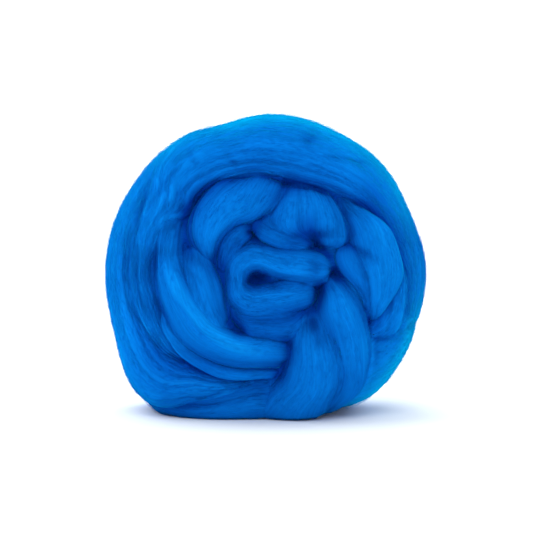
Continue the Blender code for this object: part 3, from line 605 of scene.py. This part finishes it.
# Mesh of a closed tube from its grid in millimetres.
def tubeMesh(name, grid, run, over, hollow):
    rings, sides = grid.shape[:2]
    columns = sides + 1
    points = np.concatenate([grid.reshape(-1, 3), grid[[0, -1]].mean(1)]) * mm
    points[:, 2] = settled(points[:, 2])
    mesh = bpy.data.meshes.new(name)
    mesh.from_pydata(points, [], sum([part.tolist() for part in tubeFaces(rings, sides, sides)], []))
    mesh.polygons.foreach_set("use_smooth", np.ones(len(mesh.polygons), bool))
    walls, first, last = tubeFaces(rings, sides, columns)
    first[:, 0], last[:, 0] = first[:, 2], last[:, 1]
    corner = np.concatenate([part.ravel() for part in (walls, first, last)])
    over = np.append(over, over[0] + (over[-1] - over[0]) * sides / (sides - 1))
    fibre = np.stack([run[corner // columns], over[corner % columns]], -1) * mm
    square = (fibre - fibre.min(0)) / np.ptp(fibre, axis=0)
    addMaps(mesh, fibre, square, np.append(hollow.ravel(), hollow[[0, -1]].mean(1)))
    return mesh


# Two UV maps, fibreRun in metres along and across the fibres and OFBake over the whole square, and
# how hollow it is at each point, which sets painted shade and highlight in the colour.
def addMaps(mesh, fibre, square, hollow):
    for label, values in (("fibreRun", fibre), ("OFBake", square)):
        mesh.uv_layers.new(name=label).data.foreach_set("uv", values.astype(np.float32).ravel())
    mesh.attributes.new("hollow", "FLOAT", "POINT").data.foreach_set("value", hollow.astype(np.float32))
    mesh.update()


# Heights with the underside pressed flat on the floor: an exponential eases what lies below soft
# metres, and all of it comes down by a tenth of that.
def settled(z, soft=0.0025):
    pressed = soft * np.exp(np.minimum(z / soft - 1, 0)) * 0.9 + 0.1 * soft
    return np.where(z > soft, z, pressed) - 0.1 * soft


def addObject(name, data):
    made = bpy.data.objects.new(name, data)
    bpy.context.scene.collection.objects.link(made)
    return made


def addPiece(name, mesh, material):
    made = addObject(name, mesh)
    mesh.materials.append(material)
    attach(made, "root")
    return made


# A new node's outputs, from its settings and, for its sockets, values or what feeds them.
def addNode(tree, kind, settings, sockets):
    made = tree.nodes.new(kind)
    for label, value in settings.items():
        setattr(made, label, value)
    for label, value in sockets.items():
        if isinstance(value, bpy.types.NodeSocket):
            tree.links.new(value, made.inputs[label])
        else:
            made.inputs[label].default_value = value
    return made.outputs


# Values from start to end become low to high, and stay there beyond.
def ranged(tree, value, start, end, low=0, high=1, curve="LINEAR"):
    sockets = {"Value": value, "From Min": start, "From Max": end, "To Min": low, "To Max": high}
    return addNode(tree, "ShaderNodeMapRange", {"interpolation_type": curve}, sockets)["Result"]


def mixColours(tree, first, second, share, blend="MIX"):
    return addNode(tree, "ShaderNodeMix", {"data_type": "RGBA", "blend_type": blend},
                   {"Factor": share, "A": first, "B": second})["Result"]


fibreLook = {
    "wander": (40, 0.0022),  # how fibres bend: turns in a metre, metres aside
    "noises": [(16, 420, 3), (30, 1500, 2), (60, 4200, 1)],  # changes in a metre along, across, detail
    "tone": (0.45, 0.25),  # shares of the second and third noise in the colour
    "toneEnds": (0.32, 0.66),  # tones that are deep and light
    "height": (0.55, 0.35),  # share of the two finer noises, and of the third in them
    "roughness": (0.78, 0.56),  # where the second noise is 0 and 1
    "crease": (-1.6, 2.8),  # how hollow it is where the painted shade of creases starts and is darkest
    "ridge": (-1.8, -3.6),  # and where the painted highlight of ridges starts and is lightest
    # metres from the face's axis plus metres back, where the mask of outer wraps, which carries painted
    # light, starts and is full
    "outer": (0.028, 0.066),
    "axisHeight": 0.075,
    "upper": ((0.25, 0, 1), 0.105, 0.148, 0.06, 1),  # painted light from above on the outer wraps: direction, metres along it, how light there
    # painted light low on the right: direction, metres along it, how light there
    "lowRight": ((0.8, 0, -0.6), 0.022, 0.036, 0, 0.6),
}


# Shader group: noise stretched along the fibres at three sizes gives the wool's colour between deep
# and light, its roughness and the height of its hairs. The colour gets painted shade in hollows and a
# painted highlight on ridges. Outer is a mask of painted light on the outer wraps, at the top and low
# on the right.
def fibreGroup():
    look = fibreLook
    tree = bpy.data.node_groups.new("combedFibres", "ShaderNodeTree")
    for end, kind, labels in (("INPUT", "Color", "Deep Light Crease Ridge"), ("INPUT", "Float", "Offset"),
                              ("OUTPUT", "Color", "Color"), ("OUTPUT", "Float", "Roughness Height Outer")):
        for label in labels.split():
            tree.interface.new_socket(name=label, in_out=end, socket_type="NodeSocket" + kind)
    given = tree.nodes.new("NodeGroupInput").outputs

    def vector(operation, *sockets):
        made = addNode(tree, "ShaderNodeVectorMath", {"operation": operation}, dict(enumerate(sockets)))
        return made["Value" if operation in ("LENGTH", "DOT_PRODUCT") else "Vector"]

    def number(operation, first, second):
        return addNode(tree, "ShaderNodeMath", {"operation": operation}, {0: first, 1: second})["Value"]

    def blend(first, second, share):
        return addNode(tree, "ShaderNodeMix", {}, {"Factor": share, "A": first, "B": second})["Result"]

    place = addNode(tree, "ShaderNodeUVMap", {"uv_map": "fibreRun"}, {})[0]
    often, aside = look["wander"]
    wander = addNode(tree, "ShaderNodeTexNoise", {}, {"Vector": place, "Scale": often, "Detail": 1})
    bend = vector("MULTIPLY_ADD", wander["Color"], (0, aside, 0), place)
    shades = []
    for along, across, detail in look["noises"]:
        stretched = vector("MULTIPLY", bend, (along, across, 1))
        shades.append(addNode(tree, "ShaderNodeTexNoise", {"noise_dimensions": "4D"}, {
            "Vector": stretched, "W": given["Offset"], "Scale": 1, "Detail": detail})["Fac"])
    second, third = look["tone"]
    tone = ranged(tree, blend(blend(shades[0], shades[1], second), shades[2], third), *look["toneEnds"])
    colour = mixColours(tree, given["Deep"], given["Light"], tone)
    hollow = addNode(tree, "ShaderNodeAttribute", {"attribute_name": "hollow"}, {})["Fac"]
    # painted shade in hollows and painted highlight on ridges
    for label in ("Crease", "Ridge"):
        mask = ranged(tree, hollow, *look[label.lower()])
        colour = mixColours(tree, colour, given[label], mask, "MULTIPLY")
    finer, third = look["height"]
    height = blend(shades[0], blend(shades[1], shades[2], third), finer)

    spot = addNode(tree, "ShaderNodeTexCoord", {}, {})["Object"]
    back = addNode(tree, "ShaderNodeSeparateXYZ", {}, {"Vector": spot})["Y"]
    fromAxis = vector("LENGTH", vector("MULTIPLY_ADD", spot, (1, 0, 1), (0, 0, -look["axisHeight"])))
    outer = ranged(tree, number("ADD", fromAxis, back), *look["outer"])
    upper, lowRight = (ranged(tree, vector("DOT_PRODUCT", spot, way), *ends)
                       for way, *ends in (look["upper"], look["lowRight"]))
    # painted light: the outer wraps lighter at the top and low on the right
    lit = number("MULTIPLY", outer, number("MAXIMUM", upper, lowRight))
    addNode(tree, "NodeGroupOutput", {}, {
        "Color": colour, "Roughness": ranged(tree, shades[1], 0, 1, *look["roughness"]),
        "Height": height, "Outer": lit})
    return tree


woolLook = {
    "deep": (0.0006, 0.135, 0.49, 1), "light": (0.0016, 0.23, 0.75, 1),
    "crease": (0.3, 0.2, 0.48, 1),  # painted shade: multiplies the colour in hollows
    "ridge": (1.5, 1.4, 1.2, 1),  # and painted highlight: multiplies it on ridges
    "bump": 0.7,
    "hairHeight": 0.0005,  # metres
    "finish": {
        "Specular IOR Level": 0, "Sheen Weight": 0.2, "Sheen Roughness": 0.25, "Sheen Tint": (0, 1, 0.8, 1),
    },
}
# The outer wraps: a lighter copy of the wool, painted light, with a painted sheen where they are seen edge
# on, for loose ends that catch the light.
outerLook = dict(woolLook, deep=(0.0008, 0.16, 0.565, 1), light=(0.002, 0.269, 0.86, 1),
                 paintedSheen=(0, 0.475, 0.78, 1), edgeOn=(0.15, 0.85))
# Loose hairs on them, with the painted sheen all over the outer mask, not only edge on.
outerHairLook = dict(outerLook, edgeOn=None)
# Single fibres standing off the strand, painted lighter, with less painted shade in hollows, for the light
# that comes through them.
fuzzLook = dict(outerHairLook, deep=(0, 0.21, 0.63, 1), light=(0.005, 0.31, 0.77, 1),
                crease=(0.6, 0.7, 0.8, 1))
# Strands inside the wraps: a darker copy of the wool, painted shade where less light reaches.
innerLook = dict(woolLook, deep=(0.0006, 0.107, 0.435, 1), light=(0.0016, 0.182, 0.665, 1),
                 crease=(0.34, 0.25, 0.5, 1))


# The wool of one piece, its noise moved on by the offset. Its colour turns to a painted sheen in the
# group's outer mask of painted light, and on a strand only where that is seen edge on.
def woolMaterial(name, group, offset, look):
    material = bpy.data.materials.new(name)
    material.use_nodes = True
    tree = material.node_tree
    sockets = {label: look[label.lower()] for label in ("Deep", "Light", "Crease", "Ridge")}
    fibres = addNode(tree, "ShaderNodeGroup", {"node_tree": group}, dict(sockets, Offset=offset))
    colour = fibres["Color"]
    if "paintedSheen" in look:
        share = fibres["Outer"]
        if look["edgeOn"]:
            facing = addNode(tree, "ShaderNodeLayerWeight", {}, {"Blend": 0.5})["Facing"]
            edge = ranged(tree, facing, *look["edgeOn"], curve="SMOOTHSTEP")
            share = addNode(tree, "ShaderNodeMath", {"operation": "MULTIPLY"}, {0: edge, 1: share})["Value"]
        # painted sheen and painted light in the base colour
        colour = mixColours(tree, colour, look["paintedSheen"], share)
    bump = addNode(tree, "ShaderNodeBump", {}, {
        "Strength": look["bump"], "Distance": look["hairHeight"], "Height": fibres["Height"]})
    shader = tree.nodes["Principled BSDF"].inputs
    for label, value in look["finish"].items():
        shader[label].default_value = value
    tree.links.new(colour, shader["Base Color"])
    tree.links.new(fibres["Roughness"], shader["Roughness"])
    tree.links.new(bump["Normal"], shader["Normal"])
    return material


# Rings of a strand from its table: ways to its two edges, height and half thickness, read evenly
# along a smooth curve through the rows.
def faceStrand(name, rows, seed):
    table = np.array(rows, float)
    inner, outer = faceWay(table[:, 0], table[:, 1]), faceWay(table[:, 2], table[:, 3])
    columns = np.hstack([inner, outer, table[:, 4:]])
    steps = np.linspace(0, len(rows) - 1, 400)
    fine = smoothThrough(columns, steps)
    run = distances(onBody(fine[:, :3] + fine[:, 3:6])[0])  # rough, only to space the rings
    evenly = np.linspace(0, run[-1], int(run[-1] / strandLook["stepAlong"]))
    found = smoothThrough(columns, np.interp(evenly, run, steps))
    crest, lively = strandLook["crests"].get(name, 0.5), strandLook["lively"].get(name, 1)
    return layStrand(found[:, :3], found[:, 3:6], found[:, 6], found[:, 7], seed, crest, lively)


# A wrap round the back: its middle runs from one distance round to another, with a slow waver.
def backStrand(row, seed):
    startClock, turns, startRound, endRound, halfWidth, waver, high, deep = row
    look = backLook
    share = np.linspace(0, 1, int(turns * look["rings"]))
    clock = radians(startClock) + 2 * pi * turns * share
    middle = startRound + (endRound - startRound) * share
    middle = middle + waver * np.sin(3 * clock + startClock)
    half = halfWidth * (1 - look["narrowing"] * share * (turns > 2))
    ends = np.clip(np.minimum(share, 1 - share) * turns / look["ends"], 0, 1)
    inner, outer = wayAt(clock, np.radians(middle - half)), wayAt(clock, np.radians(middle + half))
    high, deep = high - look["sink"] * (1 - ends), deep * (0.5 + 0.5 * ends)
    return layStrand(inner, outer, high, deep, seed, coarse=look["coarse"])


# The wool just under the strands, seen only in the gaps between them.
middleLook = {
    "away": (radians(2), radians(178), 160),  # first and last ring round from the face, rings
    "sides": 260,
    "sink": 0.5,  # millimetres under the relief
    "darker": 0.6,  # painted shade in the gaps: added to how hollow it is
    "run": 60,  # millimetres of fibreRun to each radian
    "offset": 171,
}


def makeMiddle(group, reliefs):
    look = middleLook
    away, clock = np.linspace(*look["away"]), np.linspace(0, 2 * pi, look["sides"], endpoint=False)
    way = wayAt(clock[None], away[:, None])
    point, normal = onBody(way)
    grid = point + normal * (readBoth(reliefs, "lift", way) - look["sink"])[..., None]
    hollow = readBoth(reliefs, "hollow", way) + look["darker"]
    mesh = tubeMesh("packedMiddle", grid, away * look["run"], clock * look["run"], hollow)
    return addPiece("packedMiddle", mesh, woolMaterial("packedMiddleWool", group, look["offset"], woolLook))


# Loose hairs, in millimetres: how many to each square one, points along one, radius, length, rise,
# degrees away from the strand, bow sideways, most depth under another strand. Fuzz and stray hairs
# leave the strand at one end.
hairLook = {
    "lying": (1.5, 3, 0.06, (4, 10), (0.02, 0.4), 5, 0.3, 0.8),
    "sparse": (0.5, 3, 0.07, (5, 12), (0.02, 0.4), 5, 0.3, 0.8),
    "arched": (0.04, 6, 0.05, (7, 18), (0.3, 1.3), 12, 1.2, 3),
    "fuzz": (2.2, 3, 0.04, (2.5, 6), (0.4, 1.8), 14, 0.3, 0.5),
    "stray": (0.015, 6, 0.05, (4, 11), (0.6, 2.6), 25, 1, 0.8),
}
# Where fuzz grows, on a ball of radius one: lowest height, a belt's place back and half width, fade.
fuzzBelt = (-0.7, 0.05, 0.62, 0.5)
hairSink = 0.1  # millimetres deeper than the relief
hairTones = 0.28  # spread of how hollow, and so how dark, single hairs look


# Points of hairs over a strand: places on its grid, turned and bowed to the side, lifted to the relief
# or to the straight line between their ends where that is higher, and raised by their rise.
def hairPaths(name, strand, reliefs, kind, area, rng):
    share, points, radius, long, rise, turn, bow, cover = hairLook[kind]
    count = max(1, int(area * share))
    t = np.linspace(0, 1, points)
    run = strand["run"]
    rings, top = len(run), np.where(strand["rise"] > 0.05)[0]
    length = rng.uniform(*long, (count, 1))
    start = rng.uniform(0, 1, (count, 1)) * run[-1] - length / 2
    ring = np.interp(np.clip(start + length * t, 0, run[-1]), run, np.arange(rings))
    place = np.stack(np.broadcast_arrays(ring, rng.uniform(top[0], top[-1], (count, 1))), -1)
    ways = np.stack([readMap(strand["way"][..., axis], place) for axis in range(3)], -1)
    sideways = unit(np.cross(ways, np.gradient(ways, axis=1)))
    shift = length * (t - 0.5) * np.tan(np.radians(rng.normal(0, turn, (count, 1))))
    shift = shift + rng.normal(0, bow, (count, 1)) * np.sin(pi * t)
    shift = shift + rng.normal(0, bow / 2, (count, 1)) * np.sin(2 * pi * t)
    ways = unit(ways + sideways * shift[..., None] / ball["turnRadius"])
    shown = readBoth(reliefs, "under", ways, name).max(1) < cover
    if kind == "fuzz":
        lowest, middle, half, fade = fuzzBelt
        shown &= ways[:, 1, 2] > lowest
        gap = np.abs(ways[:, 1, 1] - middle)
        shown &= rng.uniform(0, 1, count) < np.clip((half - gap) / fade, 0, 1)
    ways, place = ways[shown], place[shown]
    lift = readBoth(reliefs, "lift", ways)
    lift = np.maximum(lift, mix(lift[:, :1], lift[:, -1:], t))
    high = rng.uniform(*rise, (len(ways), 1))
    raised = t**1.5 if kind in ("fuzz", "stray") else np.sin(pi * t)
    lift = lift + readMap(strand["ridge"], place) + high * raised - hairSink
    hollow = readBoth(reliefs, "hollow", ways) + readMap(strand["between"], place)
    hollow = hollow + shaded.get(name, 0)
    point, normal = onBody(ways)
    return {"points": point + normal * lift[..., None], "length": length[shown], "radius": radius,
            "hollow": hollow + rng.normal(0, hairTones, (len(ways), 1))}


# Closed three-sided spindles round many paths at once. Each has its own place across fibreRun and
# its own small square in OFBake.
def hairMesh(name, batches, rng):
    points, faces, fibres, squares, hollows = [], [], [], [], []
    offset = number = 0
    across = int(np.ceil(np.sqrt(sum(len(batch["points"]) for batch in batches))))
    turn = (np.arange(3) * 2 * pi / 3)[:, None]
    for batch in batches:
        paths, hollow = batch["points"], batch["hollow"]
        count, steps = paths.shape[:2]
        along = unit(np.gradient(paths, axis=1))
        side = unit(np.cross(along, (0.31, 0.85, 0.42)))  # a direction that hardly any hair has
        t = np.linspace(0, 1, steps)
        radius = batch["radius"] * rng.uniform(0.7, 1.3, (count, 1)) * (0.35 + 0.65 * np.sin(pi * t))
        ring = side[:, :, None] * np.cos(turn) + np.cross(side, along)[:, :, None] * np.sin(turn)
        ring = (paths[:, :, None] + ring * radius[..., None, None])[:, 1:-1].reshape(count, 3 * steps - 6, 3)
        corner = np.concatenate([ring, paths[:, [0, -1]]], 1) * mm
        corner[..., 2] = np.maximum(corner[..., 2], 0.0001)  # above the floor
        points.append(corner.reshape(-1, 3))
        hollows.append(np.hstack([np.repeat(hollow[:, 1:-1], 3, axis=1), hollow[:, [0, -1]]]).ravel())
        share = np.append(np.repeat(t[1:-1], 3), [0, 1])
        wide = np.append(np.tile([0, 0.4, 0.8], steps - 2), [0.5, 0.5])
        fibreAt = rng.uniform(0, 4, (count, 1)) + wide * 0.0003
        fibre = np.stack([share * batch["length"] * mm, fibreAt], -1).reshape(-1, 2)
        hair = number + np.arange(count)
        squareAt = np.stack([hair % across, hair // across], -1)[:, None]
        square = (0.1 + 0.8 * np.stack([share, wide], -1) + squareAt) / across
        for part in tubeFaces(steps - 2, 3, 3):
            part = (part + corner.shape[1] * np.arange(count)[:, None, None]).reshape(-1, part.shape[-1])
            faces += (part + offset).tolist()
            fibres.append(fibre[part.ravel()])
            squares.append(square.reshape(-1, 2)[part.ravel()])
        offset += corner.shape[0] * corner.shape[1]
        number += count
    mesh = bpy.data.meshes.new(name)
    mesh.from_pydata(np.concatenate(points), [], faces)
    addMaps(mesh, *(np.concatenate(parts) for parts in (fibres, squares, hollows)))
    return mesh


inside = ["pinchedFold", "foldLip", "centreCurl", "leftBehind", "lowerBehind", "rightFold", "smallRightFold"]
lower = ["rightDrop", "frontDrop", "innerLeftBand", "brightLeftBand", "underSweep"]
crown = ["crownWrap", "outerLeftWrap"]
sides = ["narrowLeftRidge", "rightSliver", "lowerRightWrap"]
# Added to how hollow each of these is: above 0 where less light reaches it, below 0 where more does.
shaded = {
    "upperArch": 1.25, "pinchedFold": 0.9, "foldLip": 0.9, "centreCurl": 1.1, "leftBehind": 0.9,
    "lowerBehind": 0.9, "rightFold": -0.4, "smallRightFold": 0.7, "rightDrop": 0.7, "frontDrop": 0.45,
    "innerLeftBand": 0.15, "brightLeftBand": 0.45, "crownWrap": 0.4, "outerLeftWrap": -0.2,
}
# Pieces of hair: their kinds, their look and the strands that they are on.
hairPieces = {
    "innerHairs": ("lying arched stray", innerLook, inside),
    "lowerHairs": ("lying arched stray", innerLook, lower),
    "outerHairs": ("lying arched stray", outerHairLook, crown),
    "sideHairs": ("lying arched stray", outerHairLook, sides),
    "backHairs": ("sparse stray", outerHairLook, list(backRows)),
    "outerFuzz": ("fuzz", fuzzLook, crown + sides + ["underSweep"]),
    "rimFuzz": ("fuzz", fuzzLook, ["rimWrap"]),
    "archHairs": ("sparse arched stray", innerLook, ["upperArch"]),
}


def makeHairs(group, strands, reliefs):
    made = []
    for number, (name, (kinds, look, names)) in enumerate(hairPieces.items()):
        rng = np.random.default_rng(700 + number)
        batches = []
        for one in names:
            strand = strands[one]
            width = (strand["over"][-1] - strand["over"][0]) / (2 * strandLook["overWidth"])
            area = strand["run"][-1] * width
            batches += [hairPaths(one, strand, reliefs, kind, area, rng) for kind in kinds.split()]
        mesh = hairMesh(name, batches, rng)
        print(name, sum(len(batch["points"]) for batch in batches), "hairs,", triangles(mesh), "triangles")
        made.append(addPiece(name, mesh, woolMaterial(name + "Wool", group, 200 + number, look)))
    return made


def triangles(mesh):
    return sum(len(face.vertices) - 2 for face in mesh.polygons)


stageLook = {
    "camera": {"elevation": 7, "distance": 3, "across": 0.2665, "aimUp": 0.07326},
    "floor": {"Base Color": (0.865, 0.925, 0.925, 1), "Roughness": 0.9},
    "floorReach": 12,
    "world": {"Color": (1, 1, 1, 1), "Strength": 0.75},
    "lights": [  # energy, angle across in degrees, direction it comes from
        (1.9, 75, (-0.8, 0.5, 1.4)), (0.6, 60, (0.6, 0.8, 1.4)), (1.0, 40, (-0.15, -1.0, 0.9)),
        (0.45, 50, (0.9, 0.9, 0.45)), (0.3, 50, (-0.9, 0.9, 0.45)),
    ],
}


def makeStage():
    scene = bpy.context.scene
    look = stageLook["camera"]
    lens = bpy.data.cameras.new("camera")
    lens.lens = lens.sensor_width * look["distance"] / look["across"]
    camera = addObject("camera", lens)
    up = radians(look["elevation"])
    aim = Vector((0, 0, look["aimUp"]))
    camera.location = aim + look["distance"] * Vector((0, -np.cos(up), np.sin(up)))
    camera.rotation_euler = (pi / 2 - up, 0, 0)
    scene.camera = camera

    reach = stageLook["floorReach"]
    sheet = bpy.data.meshes.new("floor")
    corners = [(-reach, -reach, 0), (reach, -reach, 0), (reach, reach, 0), (-reach, reach, 0)]
    sheet.from_pydata(corners, [], [(0, 1, 2, 3)])
    paper = bpy.data.materials.new("floorPaper")
    world = bpy.data.worlds.new("studio")
    for owner, kind, part in ((paper, "Principled BSDF", "floor"), (world, "Background", "world")):
        owner.use_nodes = True
        for label, value in stageLook[part].items():
            owner.node_tree.nodes[kind].inputs[label].default_value = value
    sheet.materials.append(paper)
    addObject("floor", sheet)
    scene.world = world
    for number, (energy, angle, way) in enumerate(stageLook["lights"]):
        light = bpy.data.lights.new("softLight%d" % number, "SUN")
        light.energy = energy
        light.angle = radians(angle)
        lamp = addObject(light.name, light)
        lamp.rotation_euler = Vector(way).to_track_quat("Z", "Y").to_euler()
    scene.view_settings.view_transform = "Standard"
    scene.view_settings.look = "None"


makeStage()
print("stage ready")
group = fibreGroup()
strands = {}
for number, (name, rows) in enumerate(strandRows.items()):
    strands[name] = faceStrand(name, rows, 100 * number + 5)
for number, (name, row) in enumerate(backRows.items()):
    strands[name] = backStrand(row, 100 * number + 5005)
print("strands laid:", len(strands))
reliefs = makeRelief(strands, 1), makeRelief(strands, -1)
print("relief softened")
pieces = []
for number, (name, strand) in enumerate(strands.items()):
    grid, hollow = settleStrand(name, strand, reliefs)
    mesh = tubeMesh(name, grid, strand["run"], strand["over"], hollow + shaded.get(name, 0))
    # painted shade: the darker copy inside; painted light and sheen on the outer wraps
    look = innerLook if name in ["upperArch"] + inside + lower else outerLook
    pieces.append(addPiece(name, mesh, woolMaterial(name + "Wool", group, 3.7 * number, look)))
pieces.append(makeMiddle(group, reliefs))
pieces += makeHairs(group, strands, reliefs)
print("hairs laid")
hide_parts("wound_roving")
print("triangles:", sum(triangles(piece.data) for piece in pieces))
